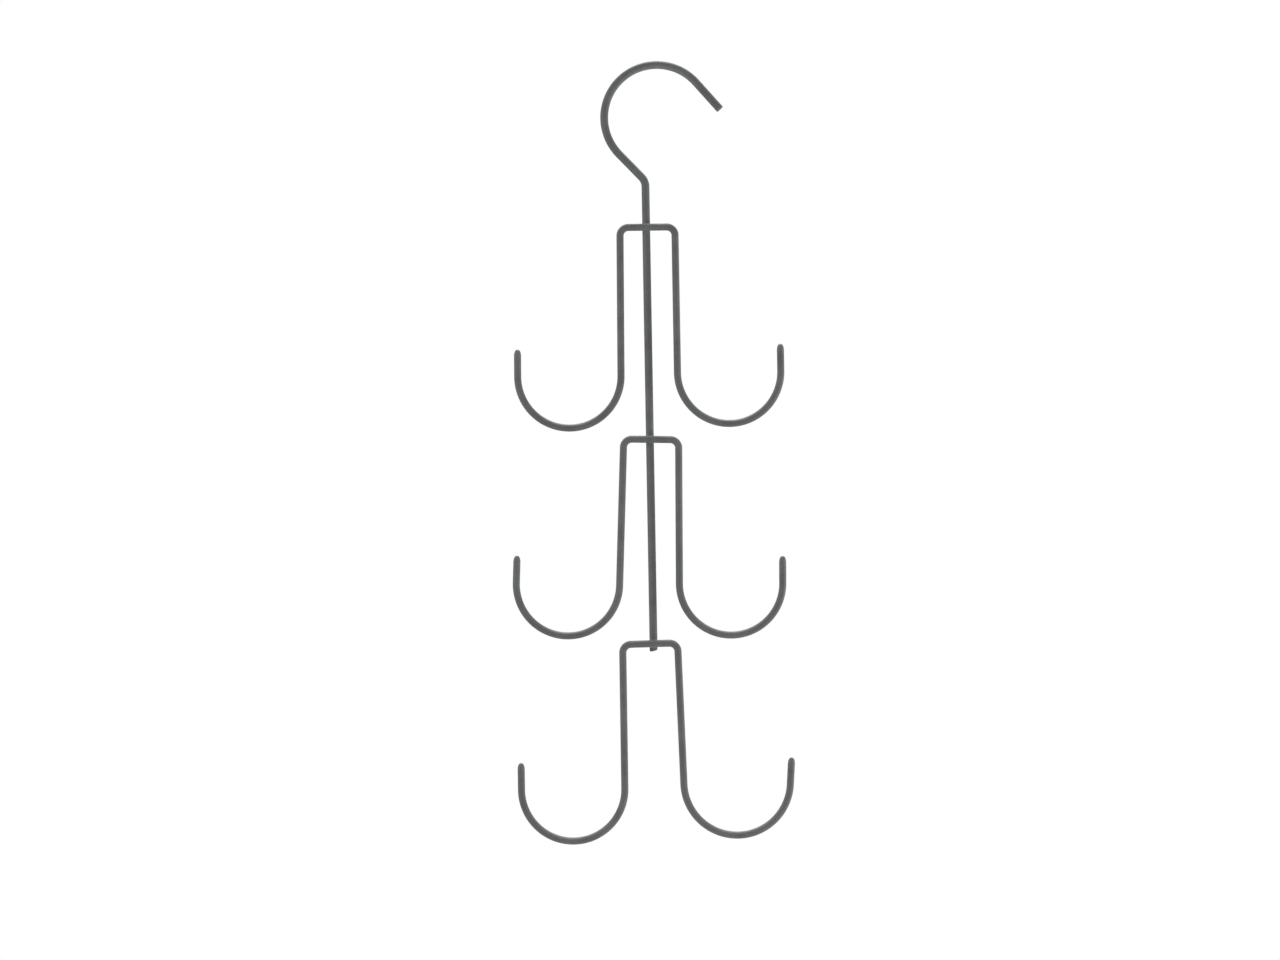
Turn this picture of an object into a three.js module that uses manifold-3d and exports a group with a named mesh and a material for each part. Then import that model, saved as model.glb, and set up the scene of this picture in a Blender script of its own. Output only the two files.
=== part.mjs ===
// A hanging hat rack of bent and welded wire, in millimetres with +Z up.
//
// One wire is bent into the stem with the hook that goes over a closet rod. Three more wires, each
// bent into a pair of J-shaped hat hooks, are welded across the front of the stem, one below the other.
// The front of the rack looks along -Y, and +X is to the right as seen from the front. The origin is
// the crown of the rod hook, on the inside of the wire, where the rod bears.

import * as THREE from 'three';
import { mergeVertices } from 'three/addons/utils/BufferGeometryUtils.js';
import Module from 'manifold-3d';

// Wire diameters, measured over the coat
const STEM_WIRE = 4.2;
const HAT_WIRE = 3.8;

// Rod hook: the stem kinks to the left, runs up to the big bend, goes over it and ends in a straight tail
const HOOK_INNER_RADIUS = 25.9;
const HOOK_OFFSET = 6.65;
const KINK_ANGLE = 43.4;
const KINK_INNER_RADIUS = 5.4;
const TAIL_ANGLE = 41;
const TAIL_LENGTH = 19.4;

// Stem below the kink: down to the first crossbar, and the stub that stands out under the last one
const FIRST_ROW_DROP = 24.9;
const STUB_LENGTH = 2.2;
const STUB_SHEAR_ANGLE = 17;

// Double hooks: every one comes off the same bending jig, which makes the left leg a little longer
const SEAT_INNER_RADIUS = 25.55;
const LEG_SPACING = 29.2;
const LEG_LENGTH = 77.2;
const LEG_SKEW = 0.7;
const CORNER_INNER_RADIUS = 2.6;
const TIP_LENGTH = 14.35;
const TIP_FLAT_SHARE = 0.35;

// Clear height between the hooks of one row and the crossbar of the next
const ROW_GAP = 2;

// The rows as they were bent and welded on. legs is the row's share of the leg length, gap its share of
// the clear height above it, and shift how far its crossbar sits to the right of the stem, as a share of
// the leg spacing. The angles are splay, how far each leg leans outwards, tilt, how far the right end
// hangs low, and sprung, how far the right-hand hook was pulled open.
const ROWS = [
  { name: 'top', legs: 1.013, shift: 0.0223, splay: 0.3, tilt: 0.3, sprung: 0 },
  { name: 'middle', legs: 1, gap: 1.65, shift: 0.0223, splay: 0.95, tilt: 1.65, sprung: 0 },
  { name: 'bottom', legs: 0.9825, gap: 0.05, shift: -0.0616, splay: 0.85, tilt: -0.7, sprung: 5.4 },
];

// Weld beads: a flattened drop of metal around the point where the two wires touch. reach is how far
// it stands out past the sides of the stem.
const WELD_REACH = 1.2;
const WELD_THICKNESS = 3;
const WELD_CLEARANCE = 0.3;

// Facets: flats face straight forwards, backwards and towards the middle of each bend, and every hat
// hook has an odd number of steps, so that one flat lies across the lowest point of its seat
const WIRE_SIDES = 16;
const ROUND_STEPS = 21;
const CORNER_STEPS = 5;
const KINK_STEPS = 4;
const TIP_STEPS = 3;
const WELD_SEGMENTS = 24;
const WELD_RINGS = 12;

const stemRadius = STEM_WIRE / 2;
const hatRadius = HAT_WIRE / 2;
const radians = THREE.MathUtils.degToRad;

// Wire bending: a wire is fed along its heading or bent through an angle, and each step leaves a
// station with its place in the XZ plane and its heading. Left turns are positive.

function startWire(x, z, heading) {
  return [{ x, z, heading: radians(heading) }];
}

function feed(stations, length) {
  const last = stations.at(-1);
  const x = last.x + length * Math.cos(last.heading);
  const z = last.z + length * Math.sin(last.heading);
  stations.push({ x, z, heading: last.heading });
}

function bend(stations, angle, radius, steps) {
  const first = stations.at(-1);
  const side = Math.sign(angle);
  const centreX = first.x - side * radius * Math.sin(first.heading);
  const centreZ = first.z + side * radius * Math.cos(first.heading);
  for (let step = 1; step <= steps; step += 1) {
    const heading = first.heading + (radians(angle) * step) / steps;
    const x = centreX + side * radius * Math.sin(heading);
    const z = centreZ - side * radius * Math.cos(heading);
    stations.push({ x, z, heading });
  }
}

// The length of wire that a bend takes from each of the two straights that meet there
function bendTangent(angle, radius) {
  return radius * Math.tan(radians(angle) / 2);
}

// Two wires that start at one station in opposite directions become one wire
function joinAtStart(backwards, forwards) {
  const turnedRound = backwards.slice(1).reverse();
  return [
    ...turnedRound.map(({ x, z, heading }) => ({ x, z, heading: heading + Math.PI })),
    ...forwards,
  ];
}

// The centre line of a wire, known at its stations
class WirePath extends THREE.Curve {
  constructor(stations) {
    super();
    this.stations = stations;
  }

  stationAt(share) {
    return this.stations[Math.round(share * (this.stations.length - 1))];
  }

  getPointAt(share) {
    const { x, z } = this.stationAt(share);
    return new THREE.Vector3(x, 0, z);
  }

  getTangentAt(share) {
    const { heading } = this.stationAt(share);
    return new THREE.Vector3(Math.cos(heading), 0, Math.sin(heading));
  }
}

// The round section as a polygon whose flats lie at the wire's radius
function wireSection(radius) {
  const cornerRadius = radius / Math.cos(Math.PI / WIRE_SIDES);
  const corners = [];
  for (let side = 0; side < WIRE_SIDES; side += 1) {
    const angle = ((side + 0.5) * 2 * Math.PI) / WIRE_SIDES;
    corners.push(new THREE.Vector2(cornerRadius * Math.cos(angle), cornerRadius * Math.sin(angle)));
  }
  return new THREE.Shape(corners);
}

function wireGeometry(stations, radius) {
  const geometry = new THREE.ExtrudeGeometry(wireSection(radius), {
    steps: stations.length - 1,
    bevelEnabled: false,
    extrudePath: new WirePath(stations),
  });
  return closedGeometry(geometry);
}

// Only the positions are kept, and corners that share a place become one vertex
function closedGeometry(geometry) {
  geometry.deleteAttribute('normal');
  geometry.deleteAttribute('uv');
  return mergeVertices(geometry);
}

// Stem with the rod hook

const hookRadius = HOOK_INNER_RADIUS + stemRadius;
const kinkRadius = KINK_INNER_RADIUS + stemRadius;
const kinkSine = Math.sin(radians(KINK_ANGLE));
const kinkCosine = Math.cos(radians(KINK_ANGLE));

// The straight above the kink just touches the circle of the hook, whose middle lies at the offset
const hookRise = (hookRadius - HOOK_OFFSET * kinkCosine) / kinkSine;
const kinkToHook = hookRise * kinkCosine - HOOK_OFFSET * kinkSine;
const kinkHeight = -HOOK_INNER_RADIUS - hookRise;

// How far each crossbar lies below the kink: a row hangs just below the hooks of the row above it
const drops = [FIRST_ROW_DROP];
ROWS.slice(1).forEach(({ gap }, index) => {
  const legAbove = ROWS[index].legs * LEG_LENGTH;
  const hooksAbove = drops[index] + legAbove + SEAT_INNER_RADIUS + HAT_WIRE;
  drops.push(hooksAbove + gap * ROW_GAP + hatRadius);
});
const stemLength = drops.at(-1) + hatRadius + STUB_LENGTH;

function stemStations() {
  const stations = startWire(-HOOK_OFFSET, kinkHeight - stemLength, 90);
  const tangent = bendTangent(KINK_ANGLE, kinkRadius);
  feed(stations, stemLength - tangent);
  bend(stations, KINK_ANGLE, kinkRadius, KINK_STEPS);
  feed(stations, kinkToHook - tangent);
  bend(stations, -(180 + KINK_ANGLE - TAIL_ANGLE), hookRadius, ROUND_STEPS);
  feed(stations, TAIL_LENGTH);
  return stations;
}

// The shears leave the lower end slanted, longer on the left
function shearLowerEnd(geometry, height) {
  const position = geometry.getAttribute('position');
  const slope = Math.tan(radians(STUB_SHEAR_ANGLE));
  for (let index = 0; index < position.count; index += 1) {
    if (Math.abs(position.getZ(index) - height) < stemRadius) {
      position.setZ(index, height + slope * (position.getX(index) + HOOK_OFFSET));
    }
  }
}

function stemGeometry() {
  const geometry = wireGeometry(stemStations(), stemRadius);
  shearLowerEnd(geometry, kinkHeight - stemLength);
  return geometry;
}

// Double hooks

const seatRadius = SEAT_INNER_RADIUS + hatRadius;
const cornerRadius = CORNER_INNER_RADIUS + hatRadius;

// One half of a double hook, from the middle of the crossbar to the right-hand tip. A hook that was
// sprung open turns less, on a larger radius, with the same length of wire.
function rightHalf(leg, splay, sprung) {
  const stations = startWire(0, 0, 0);
  const cornerAngle = 90 - splay;
  const tangent = bendTangent(cornerAngle, cornerRadius);
  feed(stations, LEG_SPACING / 2 - tangent);
  bend(stations, -cornerAngle, cornerRadius, CORNER_STEPS);
  feed(stations, leg - tangent);
  bend(stations, 180 - sprung, (seatRadius * 180) / (180 - sprung), ROUND_STEPS);
  feed(stations, TIP_LENGTH - hatRadius);
  for (let step = 1; step <= TIP_STEPS; step += 1) {
    feed(stations, hatRadius / TIP_STEPS);
  }
  return stations;
}

function mirrored(stations) {
  return stations.map(({ x, z, heading }) => ({ x: -x, z, heading: Math.PI - heading }));
}

// The tips are rounded: the rings of the last stretch are drawn in towards the wire's centre line
function roundTip(geometry, end) {
  const position = geometry.getAttribute('position');
  const tip = new THREE.Vector3(end.x, 0, end.z);
  const outwards = new THREE.Vector3(Math.cos(end.heading), 0, Math.sin(end.heading));
  const point = new THREE.Vector3();
  for (let index = 0; index < position.count; index += 1) {
    point.fromBufferAttribute(position, index).sub(tip);
    const fromTip = -point.dot(outwards);
    if (point.length() < 2 * HAT_WIRE && fromTip < hatRadius) {
      const reach = Math.min(1, 1 - fromTip / hatRadius);
      const share = Math.max(TIP_FLAT_SHARE, Math.sqrt(Math.max(0, 1 - reach * reach)));
      const onAxis = outwards.clone().multiplyScalar(-fromTip);
      point.sub(onAxis).multiplyScalar(share).add(onAxis).add(tip);
      position.setXYZ(index, point.x, point.y, point.z);
    }
  }
}

function doubleHookGeometry(row) {
  const leg = row.legs * LEG_LENGTH;
  const right = rightHalf(leg - LEG_SKEW, row.splay, row.sprung);
  const left = mirrored(rightHalf(leg + LEG_SKEW, row.splay, 0));
  const geometry = wireGeometry(joinAtStart(left, right), hatRadius);
  roundTip(geometry, right.at(-1));
  roundTip(geometry, left.at(-1));
  return geometry;
}

// Weld beads, cut back from both wires

const wasm = await Module();
wasm.setup();

function solidOf(geometry) {
  const mesh = closedGeometry(geometry);
  return new wasm.Manifold(
    new wasm.Mesh({
      numProp: 3,
      vertProperties: new Float32Array(mesh.getAttribute('position').array),
      triVerts: new Uint32Array(mesh.getIndex().array),
    }),
  );
}

function geometryOf(solid) {
  const { vertProperties, triVerts } = solid.getMesh();
  const geometry = new THREE.BufferGeometry();
  geometry.setAttribute('position', new THREE.BufferAttribute(vertProperties, 3));
  geometry.setIndex(new THREE.BufferAttribute(triVerts, 1));
  return geometry;
}

const weldRadius = stemRadius + WELD_REACH;

// A bar right through the bead, as thick as the wire and the clearance around it
function clearanceBar(radius) {
  const barRadius = (radius + WELD_CLEARANCE) / Math.cos(Math.PI / WIRE_SIDES);
  const bar = new THREE.CylinderGeometry(barRadius, barRadius, 4 * weldRadius, WIRE_SIDES);
  return bar.rotateY(Math.PI / WIRE_SIDES);
}

// The bead lies around the origin, with the stem behind it along Z and the crossbar in front along X
function weldGeometry(tilt) {
  const drop = new THREE.SphereGeometry(1, WELD_SEGMENTS, WELD_RINGS);
  drop.scale(weldRadius, weldRadius, WELD_THICKNESS / 2).rotateX(Math.PI / 2);
  const stemBar = clearanceBar(stemRadius).rotateX(Math.PI / 2).translate(0, stemRadius, 0);
  const crossBar = clearanceBar(hatRadius).rotateZ(Math.PI / 2).translate(0, -hatRadius, 0);
  crossBar.rotateY(radians(tilt));
  const bead = solidOf(drop).subtract(solidOf(stemBar)).subtract(solidOf(crossBar));
  return geometryOf(bead);
}

// The rack

const coat = { color: 0x5c5f5e, roughness: 0.45, metalness: 0.1 };

function coatedMesh(name, geometry) {
  geometry.computeVertexNormals();
  const mesh = new THREE.Mesh(geometry, new THREE.MeshStandardMaterial(coat));
  mesh.name = name;
  return mesh;
}

const hatRack = new THREE.Group();
hatRack.add(coatedMesh('stem_hook', stemGeometry()));

ROWS.forEach((row, index) => {
  const height = kinkHeight - drops[index];
  const shift = row.shift * LEG_SPACING;

  const doubleHook = coatedMesh(`double_hook_${row.name}`, doubleHookGeometry(row));
  doubleHook.rotation.y = radians(row.tilt);
  doubleHook.position.set(shift - HOOK_OFFSET, -stemRadius - hatRadius, height);
  hatRack.add(doubleHook);

  const crossing = height + shift * Math.tan(radians(row.tilt));
  const weld = coatedMesh(`weld_${row.name}`, weldGeometry(row.tilt));
  weld.position.set(-HOOK_OFFSET, -stemRadius, crossing);
  hatRack.add(weld);
});

export default hatRack;
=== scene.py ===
# %% [markdown]
# # A hanging hat rack of bent wire
#
# The rack is four steel wires and three welds under one satin grey powder coat. One wire is the stem,
# bent over at the top into the hook that hangs on a closet rod. The other three cross it, and each ends
# in a pair of J-shaped hat hooks.
#
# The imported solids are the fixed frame: they have the right sizes and places, but their wires have
# sixteen flat sides. Each solid is replaced here by a round piece in the same place.

import math

import bpy
import numpy as np
from mathutils import Matrix, Vector


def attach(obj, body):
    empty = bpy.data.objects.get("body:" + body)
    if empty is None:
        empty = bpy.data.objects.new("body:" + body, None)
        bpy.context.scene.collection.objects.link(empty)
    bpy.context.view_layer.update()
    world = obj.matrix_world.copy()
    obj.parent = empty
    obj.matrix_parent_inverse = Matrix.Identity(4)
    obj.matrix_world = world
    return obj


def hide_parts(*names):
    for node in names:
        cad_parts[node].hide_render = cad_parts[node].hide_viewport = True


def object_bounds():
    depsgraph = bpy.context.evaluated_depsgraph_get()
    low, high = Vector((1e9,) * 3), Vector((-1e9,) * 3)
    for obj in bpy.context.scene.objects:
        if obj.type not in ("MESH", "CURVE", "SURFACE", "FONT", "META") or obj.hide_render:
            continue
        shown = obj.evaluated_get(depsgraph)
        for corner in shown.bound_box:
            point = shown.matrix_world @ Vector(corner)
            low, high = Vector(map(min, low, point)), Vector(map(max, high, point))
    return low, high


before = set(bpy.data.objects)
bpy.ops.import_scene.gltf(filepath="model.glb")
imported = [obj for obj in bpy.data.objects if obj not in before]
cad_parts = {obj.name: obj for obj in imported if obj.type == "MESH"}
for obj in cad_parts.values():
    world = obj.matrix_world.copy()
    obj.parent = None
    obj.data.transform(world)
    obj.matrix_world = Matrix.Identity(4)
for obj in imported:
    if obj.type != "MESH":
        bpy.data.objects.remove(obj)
solid_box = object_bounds()

MM = 0.001


def in_mm(place):
    return [round(side / MM, 2) for side in place]


print("solids:", ", ".join(sorted(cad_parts)))
print("solid box in mm:", [in_mm(corner) for corner in solid_box])

# %% [markdown]
# ## Sizes
#
# This script can't read the source of the solids, so it repeats their driving sizes. They are written
# in millimetres, as a wire bender would have them on the drawing, and Blender gets metres. Angles are
# in degrees.

# %% Sizes of the wires and the rod hook
STEM_WIRE = 4.2 * MM
HAT_WIRE = 3.8 * MM
stem_radius = STEM_WIRE / 2
hat_radius = HAT_WIRE / 2

HOOK_INNER_RADIUS = 25.9 * MM
HOOK_OFFSET = 6.65 * MM
KINK_ANGLE = 43.4
KINK_INNER_RADIUS = 5.4 * MM
TAIL_ANGLE = 41
TAIL_LENGTH = 19.4 * MM
FIRST_ROW_DROP = 24.9 * MM
STUB_LENGTH = 2.2 * MM
STUB_SHEAR_ANGLE = 17
print("stem wire and hat wire in mm:", in_mm((STEM_WIRE, HAT_WIRE)))

# %% Sizes of the hat hooks
SEAT_INNER_RADIUS = 25.55 * MM
LEG_SPACING = 29.2 * MM
LEG_LENGTH = 77.2 * MM
LEG_SKEW = 0.7 * MM
CORNER_INNER_RADIUS = 2.6 * MM
TIP_LENGTH = 14.35 * MM
ROW_GAP = 2 * MM

# The rows as they were bent and welded on. The legs, the gap above a row and its shift to the right are
# shares of LEG_LENGTH, ROW_GAP and LEG_SPACING. The splay of the legs, the tilt of the row and how far
# its right-hand hook is sprung open are angles.
ROWS = [
    {"name": "top", "legs": 1.013, "shift": 0.0223, "splay": 0.3, "tilt": 0.3, "sprung": 0},
    {"name": "middle", "legs": 1, "gap": 1.65, "shift": 0.0223, "splay": 0.95, "tilt": 1.65,
     "sprung": 0},
    {"name": "bottom", "legs": 0.9825, "gap": 0.05, "shift": -0.0616, "splay": 0.85, "tilt": -0.7,
     "sprung": 5.4},
]
print(len(ROWS), "rows of hat hooks")

# %% [markdown]
# ## Heights
#
# The straight above the kink just touches the circle of the rod hook, which fixes how far below the
# crown the kink lies. From there the crossbars hang down the stem, each just below the hooks of the row
# above it. The heights could be read off the boxes of the solids, but the bends need the exact ones, so
# they are worked out from the same sizes.

# %% Work out the heights
hook_radius = HOOK_INNER_RADIUS + stem_radius
kink_radius = KINK_INNER_RADIUS + stem_radius
kink_sine = math.sin(math.radians(KINK_ANGLE))
kink_cosine = math.cos(math.radians(KINK_ANGLE))

hook_rise = (hook_radius - HOOK_OFFSET * kink_cosine) / kink_sine
kink_to_hook = hook_rise * kink_cosine - HOOK_OFFSET * kink_sine
kink_height = -HOOK_INNER_RADIUS - hook_rise

drop = FIRST_ROW_DROP
for above, row in zip([None, *ROWS], ROWS):
    if above:
        drop += above["legs"] * LEG_LENGTH + SEAT_INNER_RADIUS + HAT_WIRE
        drop += row["gap"] * ROW_GAP + hat_radius
    slope = math.tan(math.radians(row["tilt"]))
    shift = row["shift"] * LEG_SPACING
    row["middle"] = Vector((shift - HOOK_OFFSET, -stem_radius - hat_radius, kink_height - drop))
    row["crossing"] = Vector((-HOOK_OFFSET, -stem_radius, kink_height - drop + shift * slope))
    print(row["name"], "crossing in mm:", in_mm(row["crossing"]))

stem_length = drop + hat_radius + STUB_LENGTH

# %% [markdown]
# ## Bending a wire
#
# A wire bender knows two moves: feed so much wire, or bend it through an angle round a pin. Both moves
# here leave stations along the wire's centre line, close together where it curves. A heading runs from
# +X towards +Z, so a positive bend turns left as seen from the front. A hand-drawn Bezier curve would
# look similar, but its handles wouldn't give true radii.

# %% Feed and bend
STRAIGHT_STEP = 0.75 * MM
BEND_STEP = 2
NOSE_STEPS = 10


def start_wire(x, z, heading):
    return [(x, z, math.radians(heading))]


def feed_to(path, runs):
    x, z, heading = path[-1]
    for run in runs:
        path.append((x + run * math.cos(heading), z + run * math.sin(heading), heading))


def feed(path, length):
    steps = max(1, round(length / STRAIGHT_STEP))
    feed_to(path, [length * step / steps for step in range(1, steps + 1)])


def feed_nose(path, length):
    turns = [0.5 * math.pi * step / NOSE_STEPS for step in range(1, NOSE_STEPS + 1)]
    feed_to(path, [length * math.sin(turn) for turn in turns])


def bend(path, angle, radius):
    x, z, first = path[-1]
    side = math.copysign(1, angle)
    centre_x = x - side * radius * math.sin(first)
    centre_z = z + side * radius * math.cos(first)
    steps = math.ceil(abs(angle) / BEND_STEP)
    for step in range(1, steps + 1):
        heading = first + math.radians(angle) * step / steps
        x = centre_x + side * radius * math.sin(heading)
        z = centre_z - side * radius * math.cos(heading)
        path.append((x, z, heading))


def bend_tangent(angle, radius):
    return radius * math.tan(math.radians(angle) / 2)


def join_at_start(backwards, forwards):
    points = backwards[:0:-1] + forwards
    return np.array([(x, 0.0, z) for x, z, heading in points])


print("stations every", BEND_STEP, "degrees of a bend")

# %% [markdown]
# ## The stem's centre line
#
# The wire is followed both ways from the foot of the kink, because the stem below it stands upright:
# down to the sheared end, and up through the kink and round the hook to its tail. Both ends were cut
# off in shears, and the coat has rounded their rims a little, so the last half millimetre is a short
# nose.

# %% Bend the stem
CUT_RIM = 0.45 * MM

kink_tangent = bend_tangent(KINK_ANGLE, kink_radius)

stem_down = start_wire(-HOOK_OFFSET, kink_height - kink_tangent, -90)
feed(stem_down, stem_length - kink_tangent - CUT_RIM)
feed_nose(stem_down, CUT_RIM)

stem_up = start_wire(-HOOK_OFFSET, kink_height - kink_tangent, 90)
bend(stem_up, KINK_ANGLE, kink_radius)
feed(stem_up, kink_to_hook - kink_tangent)
bend(stem_up, -(180 + KINK_ANGLE - TAIL_ANGLE), hook_radius)
feed(stem_up, TAIL_LENGTH - CUT_RIM)
feed_nose(stem_up, CUT_RIM)

stem_line = join_at_start(stem_down, stem_up)
print("stem:", len(stem_line), "stations")

# %% [markdown]
# ## The hat hooks' centre lines
#
# Each pair is one wire: a crossbar, two tight corners, two legs, two half circles and two tips. It is
# bent from the middle of the crossbar outwards, then tilted and shifted to where it was welded on. The
# lowest right-hand hook was pulled open, so it turns less on a larger radius. A Mirror modifier would
# make both halves alike, which the real ones aren't.

# %% Bend a pair of hat hooks
TIP_NOSE = 3.3 * MM

seat_radius = SEAT_INNER_RADIUS + hat_radius
corner_radius = CORNER_INNER_RADIUS + hat_radius


def half_pair(leg, splay, sprung):
    path = start_wire(0, 0, 0)
    tangent = bend_tangent(90 - splay, corner_radius)
    feed(path, LEG_SPACING / 2 - tangent)
    bend(path, -(90 - splay), corner_radius)
    feed(path, leg - tangent)
    bend(path, 180 - sprung, seat_radius * 180 / (180 - sprung))
    feed(path, TIP_LENGTH - TIP_NOSE)
    feed_nose(path, TIP_NOSE)
    return path


def pair_line(row):
    leg = row["legs"] * LEG_LENGTH
    right = half_pair(leg - LEG_SKEW, row["splay"], row["sprung"])
    left = [(-x, z, heading) for x, z, heading in half_pair(leg + LEG_SKEW, row["splay"], 0)]
    tilt = np.array(Matrix.Rotation(math.radians(row["tilt"]), 3, "Y"))
    return join_at_start(left, right) @ tilt.T + np.array(row["middle"])


for row in ROWS:
    row["line"] = pair_line(row)
    print(row["name"], "pair:", len(row["line"]), "stations")

# %% [markdown]
# ## Small helpers for node trees
#
# Node trees are built from the same few moves everywhere: make a node, and give its inputs either a
# plain value or a link from another node. A tree could be drawn by hand in the node editor, but written
# down it can be read, and each of its sizes has a name.

# %% Make and link nodes
def set_input(tree, socket, value):
    if isinstance(value, bpy.types.NodeSocket):
        tree.links.new(value, socket)
    else:
        socket.default_value = value


def set_inputs(tree, node, values):
    for name, value in values.items():
        set_input(tree, node.inputs[name], value)


def add_node(tree, kind, inputs=None, **settings):
    node = tree.nodes.new(kind)
    for name, value in settings.items():
        setattr(node, name, value)
    set_inputs(tree, node, inputs or {})
    return node


def start_tree(name, kind, inputs):
    tree = bpy.data.node_groups.new(name, kind)
    for label, holds in inputs.items():
        tree.interface.new_socket(label, in_out="INPUT", socket_type=f"NodeSocket{holds}")
    return tree, tree.nodes.new("NodeGroupInput").outputs


def end_tree(tree, results):
    for label, value in results.items():
        tree.interface.new_socket(label, in_out="OUTPUT", socket_type=value.bl_idname)
    set_inputs(tree, tree.nodes.new("NodeGroupOutput"), results)


print("node helpers ready")

# %% Calculate with nodes
def set_in_order(tree, node, values):
    for socket, value in zip(node.inputs, values):
        set_input(tree, socket, value)


def calculate(tree, operation, *values):
    node = add_node(tree, "ShaderNodeMath", operation=operation)
    set_in_order(tree, node, values)
    return node.outputs[0]


def calculate_vector(tree, operation, *values):
    node = add_node(tree, "ShaderNodeVectorMath", operation=operation)
    set_in_order(tree, node, values)
    gives_number = operation in ("LENGTH", "DOT_PRODUCT")
    return node.outputs["Value" if gives_number else "Vector"]


def clamp(tree, value):
    return add_node(tree, "ShaderNodeClamp", {"Value": value}).outputs[0]


def mix_colours(tree, share, first, second):
    node = add_node(tree, "ShaderNodeMix", data_type="RGBA")
    sockets = {socket.identifier: socket for socket in node.inputs}
    set_input(tree, sockets["Factor_Float"], share)
    set_input(tree, sockets["A_Color"], first)
    set_input(tree, sockets["B_Color"], second)
    return next(socket for socket in node.outputs if socket.identifier == "Result_Color")


def add_noise(tree, place, scale, detail, roughness=0.5):
    grain = {"Vector": place, "Scale": scale, "Detail": detail, "Roughness": roughness}
    return add_node(tree, "ShaderNodeTexNoise", grain).outputs["Fac"]


# Noise runs around a half, so it is centred first and then swings around the middle that is asked for
def swing(tree, noise, width, middle=0):
    centred = calculate(tree, "SUBTRACT", noise, 0.5)
    return calculate(tree, "MULTIPLY_ADD", centred, width, middle)


print("calculating helpers ready")

# %% [markdown]
# ## The powder coat
#
# The coat is a dry powder that was sprayed on and baked. It flows into a satin skin with a fine orange
# peel, a slightly cloudy grey and a faint sparkle of grains. A picture of paint would blur close up, so
# noise makes all three at their real scale. They are the same wherever the coat lies, so they are one
# node group, which puts out a colour, a roughness and a height.

# %% Node group for the coat
CLOUDS_PER_METRE = 95
CLOUD_DETAIL = 4
CLOUD_ROUGHNESS = 0.6
CLOUD_CONTRAST = 2.4
CLOUD_MOTTLE = 0.16
PEEL_DETAIL = 2
PEEL_ROUGHNESS = 0.45
GRAINS_PER_PEEL = 4.5
GRAIN_DETAIL = 1
GRAIN_CONTRAST = 0.5
GRAIN_HEIGHT = 0.25


def coat_group():
    tree, given = start_tree("satin_powder_coat", "ShaderNodeTree", {
        "Deep Grey": "Color",
        "Pale Grey": "Color",
        "Satin": "Float",
        "Peel Size": "Float",
    })
    place = add_node(tree, "ShaderNodeTexCoord").outputs["Object"]
    peel_scale = calculate(tree, "DIVIDE", 1, given["Peel Size"])
    grain_scale = calculate(tree, "MULTIPLY", peel_scale, GRAINS_PER_PEEL)
    clouds = add_noise(tree, place, CLOUDS_PER_METRE, CLOUD_DETAIL, CLOUD_ROUGHNESS)
    peel = add_noise(tree, place, peel_scale, PEEL_DETAIL, PEEL_ROUGHNESS)
    grain = add_noise(tree, place, grain_scale, GRAIN_DETAIL)

    cloud_share = swing(tree, clouds, CLOUD_CONTRAST, 0.5)
    share = calculate(tree, "ADD", cloud_share, swing(tree, grain, GRAIN_CONTRAST))
    mottle = swing(tree, clouds, -CLOUD_MOTTLE)
    fine = calculate(tree, "MULTIPLY", grain, GRAIN_HEIGHT)
    end_tree(tree, {
        "Color": mix_colours(tree, share, given["Deep Grey"], given["Pale Grey"]),
        "Roughness": calculate(tree, "ADD", given["Satin"], mottle),
        "Height": calculate(tree, "ADD", peel, fine),
    })
    return tree


coat_tree = coat_group()
print("coat group with", len(coat_tree.nodes), "nodes")

# %% [markdown]
# ## Rubbed places
#
# Where the rod and the hats slide on the coat, it gets smoother and a little paler, in streaks rather
# than evenly. Such wear could be painted on by hand, but here the wires carry an attribute named rub
# that is 1 where they are touched most. A second group turns it into a streaky mask and lays that over
# the coat. The streaks are long in the plane of the rack and fine from front to back.

# %% Node group for rubbed coat
STREAKS_PER_METRE = (420, 1900, 420)
STREAK_DETAIL = 3
STREAK_CONTRAST = 2.4
RUB_SMOOTHING = 0.18


def rub_group():
    tree, given = start_tree("rubbed_coat", "ShaderNodeTree", {
        "Color": "Color",
        "Roughness": "Float",
        "Polished": "Color",
        "Strength": "Float",
    })
    place = add_node(tree, "ShaderNodeTexCoord").outputs["Object"]
    stretch = {"Vector": place, "Scale": STREAKS_PER_METRE}
    stretched = add_node(tree, "ShaderNodeMapping", stretch).outputs[0]
    streaks = add_noise(tree, stretched, 1, STREAK_DETAIL)
    touched = add_node(tree, "ShaderNodeAttribute", attribute_name="rub").outputs["Fac"]
    mask = calculate(tree, "MULTIPLY", touched, swing(tree, streaks, STREAK_CONTRAST, 0.5))
    share = clamp(tree, calculate(tree, "MULTIPLY", mask, given["Strength"]))

    smoothing = calculate(tree, "MULTIPLY", share, RUB_SMOOTHING)
    end_tree(tree, {
        "Color": mix_colours(tree, share, given["Color"], given["Polished"]),
        "Roughness": calculate(tree, "SUBTRACT", given["Roughness"], smoothing),
    })
    return tree


rub_tree = rub_group()
print("rub group with", len(rub_tree.nodes), "nodes")

# %% [markdown]
# ## Three coats
#
# The stem, the hat hooks and the welds went through one spray booth, so they share the grey. One
# material could serve them all, but the rod rubs the stem harder than hats rub the hooks, and over the
# welds the coat lies thick and lumpy.

# %% Materials
DEEP_GREY = (0.090, 0.0945, 0.092, 1)
PALE_GREY = (0.1235, 0.129, 0.126, 1)
POLISHED_GREY = (0.185, 0.191, 0.188, 1)
COAT_SHINE = 0.2
WIRE_PEEL_SIZE = 0.5 * MM
WIRE_PEEL_DEPTH = 0.05 * MM
WELD_PEEL_SIZE = 0.4 * MM
WELD_PEEL_DEPTH = 0.08 * MM


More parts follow.
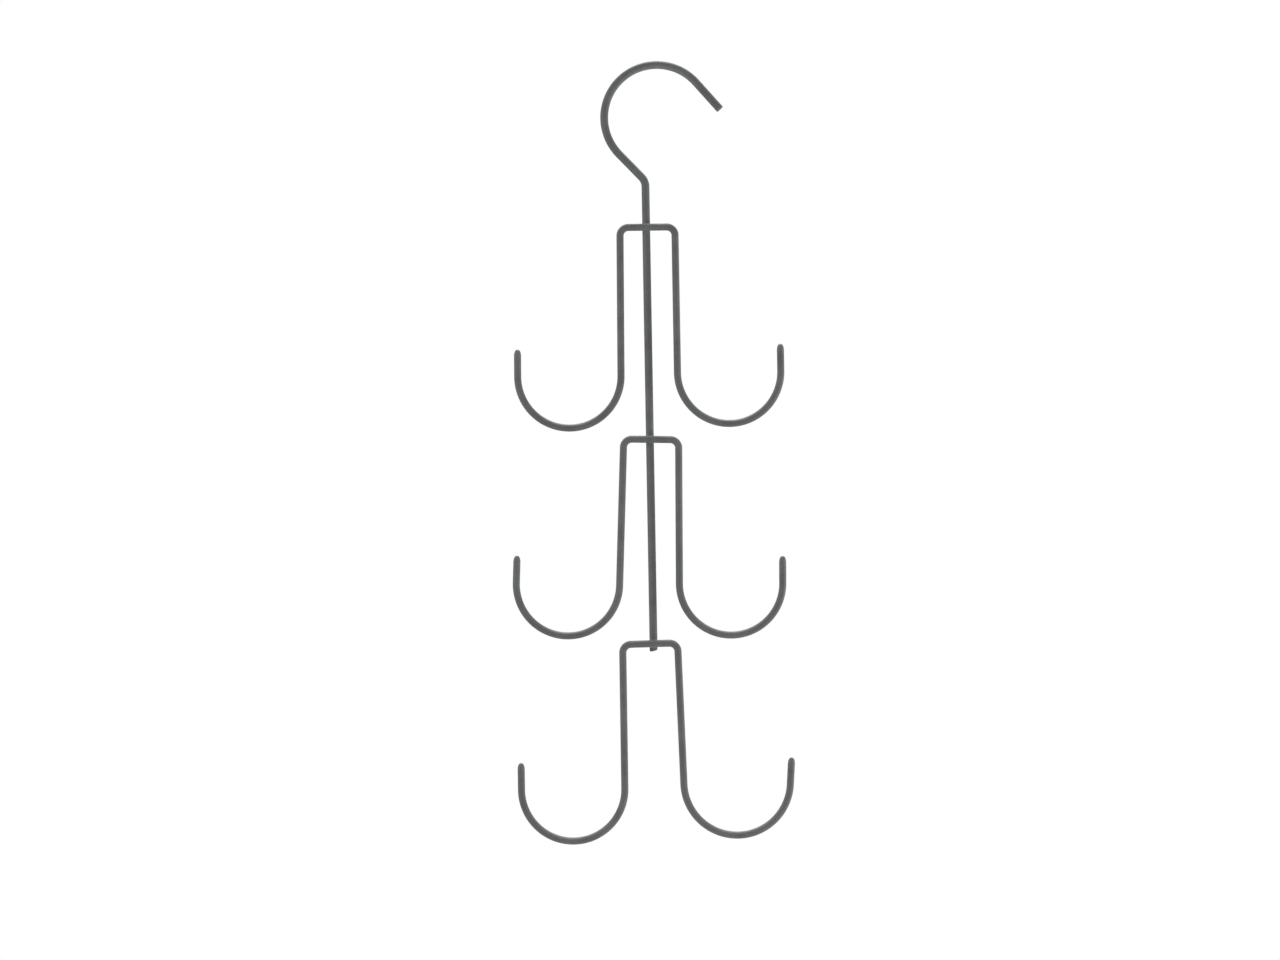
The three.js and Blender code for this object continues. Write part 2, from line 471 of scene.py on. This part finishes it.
def coat_material(name, peel_size, peel_depth, satin, rub_strength):
    material = bpy.data.materials.new(name)
    material.use_nodes = True
    tree = material.node_tree
    coat = add_node(tree, "ShaderNodeGroup", node_tree=coat_tree, inputs={
        "Deep Grey": DEEP_GREY,
        "Pale Grey": PALE_GREY,
        "Satin": satin,
        "Peel Size": peel_size,
    })
    finish = coat
    if rub_strength:
        finish = add_node(tree, "ShaderNodeGroup", node_tree=rub_tree, inputs={
            "Color": coat.outputs["Color"],
            "Roughness": coat.outputs["Roughness"],
            "Polished": POLISHED_GREY,
            "Strength": rub_strength,
        })
    bump = add_node(tree, "ShaderNodeBump", {"Height": coat.outputs["Height"], "Distance": peel_depth})
    set_inputs(tree, tree.nodes["Principled BSDF"], {
        "Base Color": finish.outputs["Color"],
        "Roughness": finish.outputs["Roughness"],
        "Specular IOR Level": COAT_SHINE,
        "Normal": bump.outputs["Normal"],
    })
    return material


stem_coat = coat_material("stem_coat", WIRE_PEEL_SIZE, WIRE_PEEL_DEPTH, satin=0.58, rub_strength=1)
hat_coat = coat_material("hat_hook_coat", WIRE_PEEL_SIZE, WIRE_PEEL_DEPTH, satin=0.6, rub_strength=0.6)
weld_coat = coat_material("weld_coat", WELD_PEEL_SIZE, WELD_PEEL_DEPTH, satin=0.64, rub_strength=0)
print("materials:", stem_coat.name, hat_coat.name, weld_coat.name)

# %% [markdown]
# ## Sweeping the wire
#
# A round bar along a path is what Geometry Nodes do well: Curve to Mesh sweeps a circle along the
# centre line, and its Scale input draws the ends in. A curve's own bevel makes a round bar too, but
# leaves plain ends. The nose of each end is a quarter of an ellipse, worked out from how far each
# station lies from that end, with a flat left at the very end.
#
# Shears tear the last part of a wire rather than cut it, so a flat end is never quite flat. The end
# faces are the only ones with more than four corners. Each is extruded in place and shrunk a few times,
# and noise lifts the rings that this makes.

# %% Ends of a wire
RING_SHARES = (0.93, 0.84, 0.8, 0.75, 0.66, 0.5)
TEARS_PER_METRE = 1300
TEAR_DETAIL = 2
SIDE_FACE_CORNERS = 4


def end_scale(tree, distance, nose, flat):
    reach = clamp(tree, calculate(tree, "DIVIDE", distance, nose))
    gone = calculate(tree, "POWER", calculate(tree, "SUBTRACT", 1, reach), 2)
    ellipse = calculate(tree, "SQRT", calculate(tree, "SUBTRACT", 1, gone))
    rounded = calculate(tree, "SUBTRACT", 1, flat)
    return calculate(tree, "MULTIPLY_ADD", ellipse, rounded, flat)


def torn_ends(tree, mesh, depth):
    corners = add_node(tree, "GeometryNodeInputMeshFaceNeighbors").outputs["Vertex Count"]
    end = calculate(tree, "GREATER_THAN", corners, SIDE_FACE_CORNERS)
    place = add_node(tree, "GeometryNodeInputPosition").outputs[0]
    facing_out = add_node(tree, "GeometryNodeInputNormal").outputs[0]
    lift = swing(tree, add_noise(tree, place, TEARS_PER_METRE, TEAR_DETAIL), depth)
    tear = {"Vector": facing_out, "Scale": lift}
    outwards = add_node(tree, "ShaderNodeVectorMath", tear, operation="SCALE").outputs[0]
    for share in RING_SHARES:
        face = {"Mesh": mesh, "Selection": end, "Offset Scale": 0}
        copy = add_node(tree, "GeometryNodeExtrudeMesh", face)
        end = copy.outputs["Top"]
        ring = {"Geometry": copy.outputs["Mesh"], "Selection": end, "Scale": share}
        shrunk = add_node(tree, "GeometryNodeScaleElements", ring)
        moved = {"Geometry": shrunk.outputs[0], "Selection": end, "Offset": outwards}
        mesh = add_node(tree, "GeometryNodeSetPosition", moved).outputs[0]
    return mesh


print("each end gets", len(RING_SHARES), "rings")

# %% Node tree for a drawn wire
def coat_and_end(tree, label, mesh, material):
    smooth = add_node(tree, "GeometryNodeSetShadeSmooth", {"Geometry": mesh})
    real = add_node(tree, "GeometryNodeRealizeInstances", {"Geometry": smooth.outputs[0]})
    bare = {"Geometry": real.outputs[0], "Material": material}
    coated = add_node(tree, "GeometryNodeSetMaterial", bare)
    end_tree(tree, {label: coated.outputs[0]})


def wire_tree():
    tree, given = start_tree("drawn_wire", "GeometryNodeTree", {
        "Centre Line": "Geometry",
        "Diameter": "Float",
        "Sides": "Int",
        "Nose": "Float",
        "Flat": "Float",
        "Tear": "Float",
        "Material": "Material",
    })
    done = add_node(tree, "GeometryNodeSplineParameter").outputs["Length"]
    whole = add_node(tree, "GeometryNodeSplineLength").outputs["Length"]
    left = calculate(tree, "SUBTRACT", whole, done)
    first_end = end_scale(tree, done, given["Nose"], given["Flat"])
    last_end = end_scale(tree, left, given["Nose"], given["Flat"])

    radius = calculate(tree, "MULTIPLY", given["Diameter"], 0.5)
    circle = {"Resolution": given["Sides"], "Radius": radius}
    section = add_node(tree, "GeometryNodeCurvePrimitiveCircle", circle)
    sweep = add_node(tree, "GeometryNodeCurveToMesh", {
        "Curve": given["Centre Line"],
        "Profile Curve": section.outputs["Curve"],
        "Scale": calculate(tree, "MINIMUM", first_end, last_end),
        "Fill Caps": True,
    })
    bar = torn_ends(tree, sweep.outputs["Mesh"], given["Tear"])
    coat_and_end(tree, "Wire", bar, given["Material"])
    return tree


drawn_wire = wire_tree()
print("wire tree with", len(drawn_wire.nodes), "nodes")

# %% [markdown]
# ## From a tree to a plain mesh
#
# The modifier's inputs are set by their identifiers, then the evaluated object is copied into a plain
# mesh and the modifier's object is removed. The modifier could stay live, but marks that are pressed in
# afterwards need real vertices. A finished piece rides on the rack's one body, and stands in for its
# solid.

# %% Mesh and piece helpers
def grow_mesh(name, data, tree, values):
    source = bpy.data.objects.new(f"{name}_source", data)
    bpy.context.collection.objects.link(source)
    modifier = source.modifiers.new(tree.name, "NODES")
    modifier.node_group = tree
    for item in tree.interface.items_tree:
        if item.item_type == "SOCKET" and item.name in values:
            modifier[item.identifier] = values[item.name]
    graph = bpy.context.evaluated_depsgraph_get()
    mesh = bpy.data.meshes.new_from_object(source.evaluated_get(graph))
    mesh.name = name
    bpy.data.objects.remove(source)
    return mesh


def place_piece(mesh, node):
    piece = bpy.data.objects.new(mesh.name, mesh)
    bpy.context.collection.objects.link(piece)
    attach(piece, "root")
    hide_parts(node)
    mesh.calc_loop_triangles()
    print(piece.name, "stands for", node, "with", len(mesh.loop_triangles), "triangles")


print("mesh helpers ready")

# %% [markdown]
# ## Drawing the four wires
#
# Each centre line becomes a poly curve, and the tree sweeps it. The hat hooks end in long rounded noses
# with hardly any flat and no tear, and the stem's cut ends keep most of theirs.

# %% Sweep a wire
WIRE_SIDES = 40
TIP_FLAT = 0.2
CUT_FLAT = 0.86
CUT_TEAR = 0.16 * MM


def sweep_wire(name, line, diameter, nose, flat, tear, material):
    curve = bpy.data.curves.new(f"{name}_line", "CURVE")
    curve.dimensions = "3D"
    spline = curve.splines.new("POLY")
    spline.points.add(len(line) - 1)
    spline.points.foreach_set("co", np.column_stack([line, np.ones(len(line))]).ravel())
    return grow_mesh(name, curve, drawn_wire, {
        "Diameter": diameter,
        "Sides": WIRE_SIDES,
        "Nose": nose,
        "Flat": flat,
        "Tear": tear,
        "Material": material,
    })


stem_mesh = sweep_wire("stem_with_rod_hook", stem_line, STEM_WIRE, CUT_RIM, CUT_FLAT, CUT_TEAR, stem_coat)
for row in ROWS:
    name = f"hat_hooks_{row['name']}"
    row["mesh"] = sweep_wire(name, row["line"], HAT_WIRE, TIP_NOSE, TIP_FLAT, 0, hat_coat)
print("stem mesh:", len(stem_mesh.vertices), "vertices")

# %% [markdown]
# ## Shears and welding jaws
#
# The shears left the stem's lower end slanted, longer on the left, where the blade went in and rolled
# the rim over. The copper jaws of the spot welder pressed a shallow flat into the front of each crossbar
# and into the back of the stem behind it. A Boolean cut would leave hard new edges, and all these marks
# only move a few vertices, so plain arrays do it.

# %% Press and shear
PRESS_DEPTH = 0.22 * MM
PRESS_REACH = 2.6 * MM
SHEAR_ROLL = 0.5 * MM


def get_places(mesh):
    places = np.empty(3 * len(mesh.vertices), np.float32)
    mesh.vertices.foreach_get("co", places)
    return places.reshape(-1, 3).astype(float)


def set_places(mesh, places):
    mesh.vertices.foreach_set("co", places.astype(np.float32).ravel())
    mesh.update()


def press_depth(distance):
    return PRESS_DEPTH * np.clip(1 - (distance / PRESS_REACH) ** 2, 0, 1)


places = get_places(stem_mesh)
for row in ROWS:
    dent = press_depth(places[:, 2] - row["crossing"].z)
    places[:, 1] = np.minimum(places[:, 1], stem_radius - dent)

lower_end = kink_height - stem_length
shear_slope = math.tan(math.radians(STUB_SHEAR_ANGLE))
at_end = np.clip(1 - (places[:, 2] - lower_end) / STUB_LENGTH, 0, 1)
off_middle = places[:, 0] + HOOK_OFFSET
rolled = SHEAR_ROLL * np.clip(-off_middle / stem_radius, 0, 1) ** 2
places[:, 2] += at_end * (shear_slope * off_middle + rolled)
set_places(stem_mesh, places)

for row in ROWS:
    places = get_places(row["mesh"])
    on_crossbar = np.abs(places[:, 2] - row["crossing"].z) < HAT_WIRE
    dent = press_depth(places[:, 0] - row["crossing"].x) * on_crossbar
    places[:, 1] = np.maximum(places[:, 1], -stem_radius - HAT_WIRE + dent)
    set_places(row["mesh"], places)
print("pressed", len(ROWS), "crossings, sheared the lower end of the stem")

# %% [markdown]
# ## Where the coat is rubbed
#
# The rod bears on the inside of the hook's crown, and hats on the inside of the seats and on the tips
# as they go on, so the rub attribute follows from where a vertex lies and which way it faces. The coat
# also pulls back from a sharp rim while it bakes, so the rims of both cut ends are marked too.

# %% Measure and mark
RUB_SHOWS = 0.3


def facing(mesh):
    normals = np.empty(3 * len(mesh.vertices), np.float32)
    mesh.vertex_normals.foreach_get("vector", normals)
    return normals.reshape(-1, 3)


def soft_step(low, high, value):
    share = np.clip((value - low) / (high - low), 0, 1)
    return share * share * (3 - 2 * share)


def mark_rub(mesh, rub):
    layer = mesh.attributes.new("rub", "FLOAT", "POINT")
    layer.data.foreach_set("value", rub.astype(np.float32))
    print(mesh.name, "rubbed on", round(100 * float(np.mean(rub > RUB_SHOWS)), 1), "% of its vertices")


print("rub counts from", RUB_SHOWS)

# %% Mark the stem
CROWN_REACH = 20 * MM
CROWN_FACING = (-0.1, 0.9)
RIM_REACH = 0.8 * MM
RIM_EDGE = (0.7, 0.9)
RIM_RUB = 0.9


def rim_rub(from_cut, off_axis):
    return soft_step(RIM_REACH, 0, from_cut) * soft_step(*RIM_EDGE, off_axis / stem_radius)


places = get_places(stem_mesh)
near_crown = soft_step(-CROWN_REACH, 0, places[:, 2])
near_crown *= soft_step(*CROWN_FACING, -facing(stem_mesh)[:, 2])

off_middle = places[:, 0] + HOOK_OFFSET
above_cut = places[:, 2] - lower_end - shear_slope * off_middle
stub_rim = rim_rub(above_cut, np.hypot(off_middle, places[:, 1]))

tail_x, tail_z, tail_heading = stem_up[-1]
tail_way = np.array([math.cos(tail_heading), 0, math.sin(tail_heading)])
tail_side = np.array([-math.sin(tail_heading), 0, math.cos(tail_heading)])
to_tail_end = [tail_x, 0, tail_z] - places
tail_rim = rim_rub(to_tail_end @ tail_way, np.hypot(to_tail_end @ tail_side, places[:, 1]))
tail_rim *= np.linalg.norm(to_tail_end, axis=1) < STEM_WIRE

mark_rub(stem_mesh, np.maximum(near_crown, RIM_RUB * np.maximum(stub_rim, tail_rim)))

# %% Mark the hat hooks
SEAT_HEIGHTS = (22 * MM, 4 * MM)
SEAT_FACING = (0.0, 0.9)
TIP_RUB = 0.7

for row in ROWS:
    places = get_places(row["mesh"])
    in_seat = soft_step(*SEAT_HEIGHTS, places[:, 2] - places[:, 2].min())
    in_seat *= soft_step(*SEAT_FACING, facing(row["mesh"])[:, 2])
    to_tips = [np.linalg.norm(places - row["line"][end], axis=1) for end in (0, -1)]
    on_tip = soft_step(2 * TIP_NOSE, 0, np.minimum(*to_tips))
    mark_rub(row["mesh"], np.maximum(in_seat, TIP_RUB * on_tip))

# %% [markdown]
# ## Placing the wires
#
# The four wires are finished, so each takes the place of its solid. A piece could be built around its
# own middle and moved there, but here its place is in its mesh and the object stays at the origin, so
# that the coat's pattern stays where it is.

# %% Place the four wires
place_piece(stem_mesh, "stem_hook")
for row in ROWS:
    place_piece(row["mesh"], f"double_hook_{row['name']}")

# %% [markdown]
# ## The welds
#
# The spot welder melts the two wires into each other, and the metal that is squeezed out freezes as a
# small fillet in the corners. Joining the bars and bevelling the seam would break where they meet at a
# shallow angle, but a fillet is a smooth blend of two round bars, which is a rule: measure how far a
# point lies from each bar, take a smooth minimum of the two, and the surface is where that is zero.
#
# The bars of the rule are a touch thinner than the wires, so that only the fillet shows, and the blend
# dies away towards the weld's reach. The lowest weld runs down over the stub of the stem and stops just
# above its sheared face.

# %% Distance from two blended bars
BLEND_FULL = 0.5
BLEND_GONE = 0.95
LUMPS_PER_METRE = 700
LUMP_DETAIL = 2


def bar_distance(tree, place, axis_y, across, radius):
    axis = add_node(tree, "ShaderNodeCombineXYZ", {"Y": axis_y}).outputs[0]
    off_axis = calculate_vector(tree, "SUBTRACT", place, axis)
    square_off = calculate_vector(tree, "MULTIPLY", off_axis, across)
    return calculate(tree, "SUBTRACT", calculate_vector(tree, "LENGTH", square_off), radius)


def fillet_distance(tree, given, place, from_middle):
    tilted = {"Vector": place, "Angle": calculate(tree, "MULTIPLY", given["Tilt"], -1)}
    level = add_node(tree, "ShaderNodeVectorRotate", tilted, rotation_type="Y_AXIS").outputs[0]
    bar_y = calculate(tree, "MULTIPLY", given["Crossbar Radius"], -1)
    stem_thin = calculate(tree, "SUBTRACT", given["Stem Radius"], given["Sink"])
    bar_thin = calculate(tree, "SUBTRACT", given["Crossbar Radius"], given["Sink"])
    to_stem = bar_distance(tree, place, given["Stem Radius"], (1, 1, 0), stem_thin)
    to_bar = bar_distance(tree, level, bar_y, (0, 1, 1), bar_thin)

    blend = add_node(tree, "ShaderNodeMapRange", interpolation_type="SMOOTHSTEP", inputs={
        "Value": from_middle,
        "From Min": calculate(tree, "MULTIPLY", given["Reach"], BLEND_FULL),
        "From Max": calculate(tree, "MULTIPLY", given["Reach"], BLEND_GONE),
        "To Min": given["Blend"],
        "To Max": 0,
    }).outputs[0]
    blended = calculate(tree, "SMOOTH_MIN", to_stem, to_bar, blend)

    position = add_node(tree, "GeometryNodeInputPosition").outputs[0]
    lump = swing(tree, add_noise(tree, position, LUMPS_PER_METRE, LUMP_DETAIL), given["Lumps"])
    lump_share = calculate(tree, "DIVIDE", blend, given["Blend"])
    return calculate(tree, "MULTIPLY_ADD", lump, lump_share, blended)


print("welds blend fully up to", BLEND_FULL, "of their reach")

# %% [markdown]
# ## The skin of a weld
#
# The blend is cut off at the weld's reach, at its depth and above the sheared face: the largest of
# several distances is what all of them enclose. Volume Cube samples the rule in small cells, as a
# density that falls off over a few of them, and Volume to Mesh draws the skin where it is a half.

# %% Node tree for a weld
VOLUME_MARGIN = 1.1
SKIN_CELLS = 6
SKIN_LEVEL = 0.5


def limit_distance(tree, given, place, from_middle):
    to_rim = calculate(tree, "SUBTRACT", from_middle, given["Reach"])
    depth = add_node(tree, "ShaderNodeSeparateXYZ", {"Vector": place}).outputs["Y"]
    to_face = calculate(tree, "SUBTRACT", calculate(tree, "ABSOLUTE", depth), given["Depth"])
    from_cut = calculate_vector(tree, "SUBTRACT", place, given["Lowest"])
    past_cut = calculate_vector(tree, "DOT_PRODUCT", from_cut, given["Cut Facing"])
    return calculate(tree, "MAXIMUM", calculate(tree, "MAXIMUM", to_rim, to_face), past_cut)


def draw_skin(tree, given, distance):
    half = calculate(tree, "MULTIPLY", given["Reach"], VOLUME_MARGIN)
    cell = calculate(tree, "DIVIDE", calculate(tree, "MULTIPLY", half, 2), given["Cells"])
    fall = calculate(tree, "DIVIDE", distance, calculate(tree, "MULTIPLY", cell, -SKIN_CELLS))
    corner = add_node(tree, "ShaderNodeCombineXYZ", {"X": half, "Y": half, "Z": half}).outputs[0]
    cube = add_node(tree, "GeometryNodeVolumeCube", {
        "Density": clamp(tree, calculate(tree, "ADD", fall, SKIN_LEVEL)),
        "Min": calculate_vector(tree, "SUBTRACT", given["Crossing"], corner),
        "Max": calculate_vector(tree, "ADD", given["Crossing"], corner),
        "Resolution X": given["Cells"],
        "Resolution Y": given["Cells"],
        "Resolution Z": given["Cells"],
    })
    sampled = {"Volume": cube.outputs[0], "Threshold": SKIN_LEVEL}
    return add_node(tree, "GeometryNodeVolumeToMesh", sampled).outputs[0]


def weld_tree():
    tree, given = start_tree("weld_fillet", "GeometryNodeTree", {
        "Crossing": "Vector",
        "Tilt": "Float",
        "Stem Radius": "Float",
        "Crossbar Radius": "Float",
        "Sink": "Float",
        "Blend": "Float",
        "Reach": "Float",
        "Depth": "Float",
        "Lowest": "Vector",
        "Cut Facing": "Vector",
        "Lumps": "Float",
        "Cells": "Int",
        "Material": "Material",
    })
    position = add_node(tree, "GeometryNodeInputPosition").outputs[0]
    place = calculate_vector(tree, "SUBTRACT", position, given["Crossing"])
    from_middle = calculate_vector(tree, "LENGTH", place)
    fillet = fillet_distance(tree, given, place, from_middle)
    limit = limit_distance(tree, given, place, from_middle)
    skin = draw_skin(tree, given, calculate(tree, "MAXIMUM", fillet, limit))
    coat_and_end(tree, "Weld", skin, given["Material"])
    return tree


weld_fillet = weld_tree()
print("weld tree with", len(weld_fillet.nodes), "nodes")

# %% Grow the three welds
WELD_SINK = 0.05 * MM
WELD_BLEND = 5.6 * MM
WELD_REACH = {"top": 4.3 * MM, "middle": 4.3 * MM, "bottom": 4.6 * MM}
WELD_DEPTH = 3 * MM
WELD_CLEAR = 0.6 * MM
WELD_LUMPS = 0.3 * MM
WELD_CELLS = 84

cut_facing = Vector((shear_slope, 0, -1)).normalized()

for row in ROWS:
    empty = bpy.data.meshes.new(f"weld_{row['name']}_seed")
    weld = grow_mesh(f"weld_fillet_{row['name']}", empty, weld_fillet, {
        "Crossing": row["crossing"],
        "Tilt": math.radians(row["tilt"]),
        "Stem Radius": stem_radius,
        "Crossbar Radius": hat_radius,
        "Sink": WELD_SINK,
        "Blend": WELD_BLEND,
        "Reach": WELD_REACH[row["name"]],
        "Depth": WELD_DEPTH,
        "Lowest": Vector((0, 0, lower_end + WELD_CLEAR - row["crossing"].z)),
        "Cut Facing": cut_facing,
        "Lumps": WELD_LUMPS,
        "Cells": WELD_CELLS,
        "Material": weld_coat,
    })
    place_piece(weld, f"weld_{row['name']}")

# %% [markdown]
# ## The stage
#
# The rack hangs in front of plain white. A white wall behind it would hide it from the back, so the
# white is the world itself: Light Path tells rays that come from the camera or mirror off the coat from
# those that only carry light. The pale floor lies well below the rack, as it would under a closet rod,
# and fades out into the white.

# %% White world
WHITE = (1, 1, 1, 1)
WHITE_LEVEL = 1
FILL_LEVEL = 0.38

world = bpy.data.worlds.new("white_room")
bpy.context.scene.world = world
world.use_nodes = True
tree = world.node_tree
tree.nodes.clear()
rays = add_node(tree, "ShaderNodeLightPath").outputs
seen = calculate(tree, "MAXIMUM", rays["Is Camera Ray"], rays["Is Glossy Ray"])
seen = calculate(tree, "MAXIMUM", seen, rays["Is Transmission Ray"])
fill = add_node(tree, "ShaderNodeBackground", {"Color": WHITE, "Strength": FILL_LEVEL})
white = add_node(tree, "ShaderNodeBackground", {"Color": WHITE, "Strength": WHITE_LEVEL})
either = add_node(tree, "ShaderNodeMixShader", {"Fac": seen})
set_input(tree, either.inputs[1], fill.outputs[0])
set_input(tree, either.inputs[2], white.outputs[0])
add_node(tree, "ShaderNodeOutputWorld", {"Surface": either.outputs[0]})
print("white world with a fill of", FILL_LEVEL)

# %% Pale floor
FLOOR_HEIGHT = -0.75
FLOOR_RADIUS = 0.75
FLOOR_SIDES = 96
FLOOR_WHITE = (0.9, 0.9, 0.9, 1)
FLOOR_ROUGHNESS = 0.9
FADE_START = 0.4 * FLOOR_RADIUS

turns = np.linspace(0, 2 * math.pi, FLOOR_SIDES, endpoint=False)
rim = [(FLOOR_RADIUS * math.cos(turn), FLOOR_RADIUS * math.sin(turn), FLOOR_HEIGHT) for turn in turns]
floor_mesh = bpy.data.meshes.new("floor")
floor_mesh.from_pydata(rim, [], [list(range(FLOOR_SIDES))])
floor = bpy.data.objects.new("floor", floor_mesh)
bpy.context.collection.objects.link(floor)

floor_paint = bpy.data.materials.new("floor_paint")
floor_paint.use_nodes = True
tree = floor_paint.node_tree
spot = add_node(tree, "ShaderNodeTexCoord").outputs["Object"]
away = calculate_vector(tree, "LENGTH", calculate_vector(tree, "MULTIPLY", spot, (1, 1, 0)))
fade = add_node(tree, "ShaderNodeMapRange", interpolation_type="SMOOTHSTEP", inputs={
    "Value": away,
    "From Min": FADE_START,
    "From Max": FLOOR_RADIUS,
    "To Min": 1,
    "To Max": 0,
})
set_inputs(tree, tree.nodes["Principled BSDF"], {
    "Base Color": FLOOR_WHITE,
    "Roughness": FLOOR_ROUGHNESS,
    "Alpha": fade.outputs[0],
})
floor_mesh.materials.append(floor_paint)
print("floor", round((solid_box[0].z - FLOOR_HEIGHT) / MM), "mm below the lowest hook")

# %% [markdown]
# ## Light
#
# The photo's wires are a little paler along both edges than along the middle. One lamp at the camera
# would do the opposite, so three large soft lamps stand around the rack: one on the left in front, one
# low on the right, and one above from behind. Together with the world they light a facing surface at
# about its own colour.

# %% Lamps
LAMP_SIZE = 1
KEY_PLACE = (-1.3, -0.9, 0.1)
KEY_WATTS = 15
SIDE_PLACE = (1.55, -0.2, -0.45)
SIDE_WATTS = 23
TOP_PLACE = (0, 0.6, 1.3)
TOP_WATTS = 38


def add_lamp(name, place, watts, aim):
    lamp = bpy.data.lights.new(name, "AREA")
    lamp.shape = "DISK"
    lamp.size = LAMP_SIZE
    lamp.energy = watts
    holder = bpy.data.objects.new(name, lamp)
    holder.location = place
    holder.rotation_euler = (aim - Vector(place)).to_track_quat("-Z", "Y").to_euler()
    bpy.context.collection.objects.link(holder)


rack_middle = (solid_box[0] + solid_box[1]) / 2
add_lamp("soft_key", KEY_PLACE, KEY_WATTS, rack_middle)
add_lamp("soft_side", SIDE_PLACE, SIDE_WATTS, rack_middle)
add_lamp("soft_top", TOP_PLACE, TOP_WATTS, rack_middle)
print("three lamps aimed at", in_mm(rack_middle), "mm")

# %% [markdown]
# ## Camera
#
# The photo was taken straight from the front and shows no perspective, so a long lens stands on the
# front side. The crown of the rod hook and the scale in the photo fix where it stands, and the photo is
# turned by about a degree, which the camera takes, so that the stem stays upright in the model.

# %% Place the camera
PHOTO_WIDTH = 1280
PHOTO_HEIGHT = 960
CROWN_PIXEL = (655.9, 68.4)
PIXELS_PER_METRE = 1880
PHOTO_TURN = math.radians(1.008)
LENS = 85
SENSOR = 36

across = (PHOTO_WIDTH / 2 - CROWN_PIXEL[0]) / PIXELS_PER_METRE
down = (PHOTO_HEIGHT / 2 - CROWN_PIXEL[1]) / PIXELS_PER_METRE
aim_x = across * math.cos(PHOTO_TURN) - down * math.sin(PHOTO_TURN)
aim_z = -across * math.sin(PHOTO_TURN) - down * math.cos(PHOTO_TURN)
distance = LENS / SENSOR * PHOTO_WIDTH / PIXELS_PER_METRE

lens = bpy.data.cameras.new("photo_camera")
lens.lens = LENS
lens.sensor_width = SENSOR
camera = bpy.data.objects.new("photo_camera", lens)
bpy.context.collection.objects.link(camera)
stand = Matrix.Translation((aim_x, -stem_radius - distance, aim_z))
turn = Matrix.Rotation(PHOTO_TURN, 4, "Y")
look_along_y = Matrix.Rotation(math.radians(90), 4, "X")
camera.matrix_world = stand @ turn @ look_along_y
bpy.context.scene.camera = camera
bpy.context.scene.view_settings.view_transform = "Standard"
print("camera", round(distance, 3), "m in front of the stem")
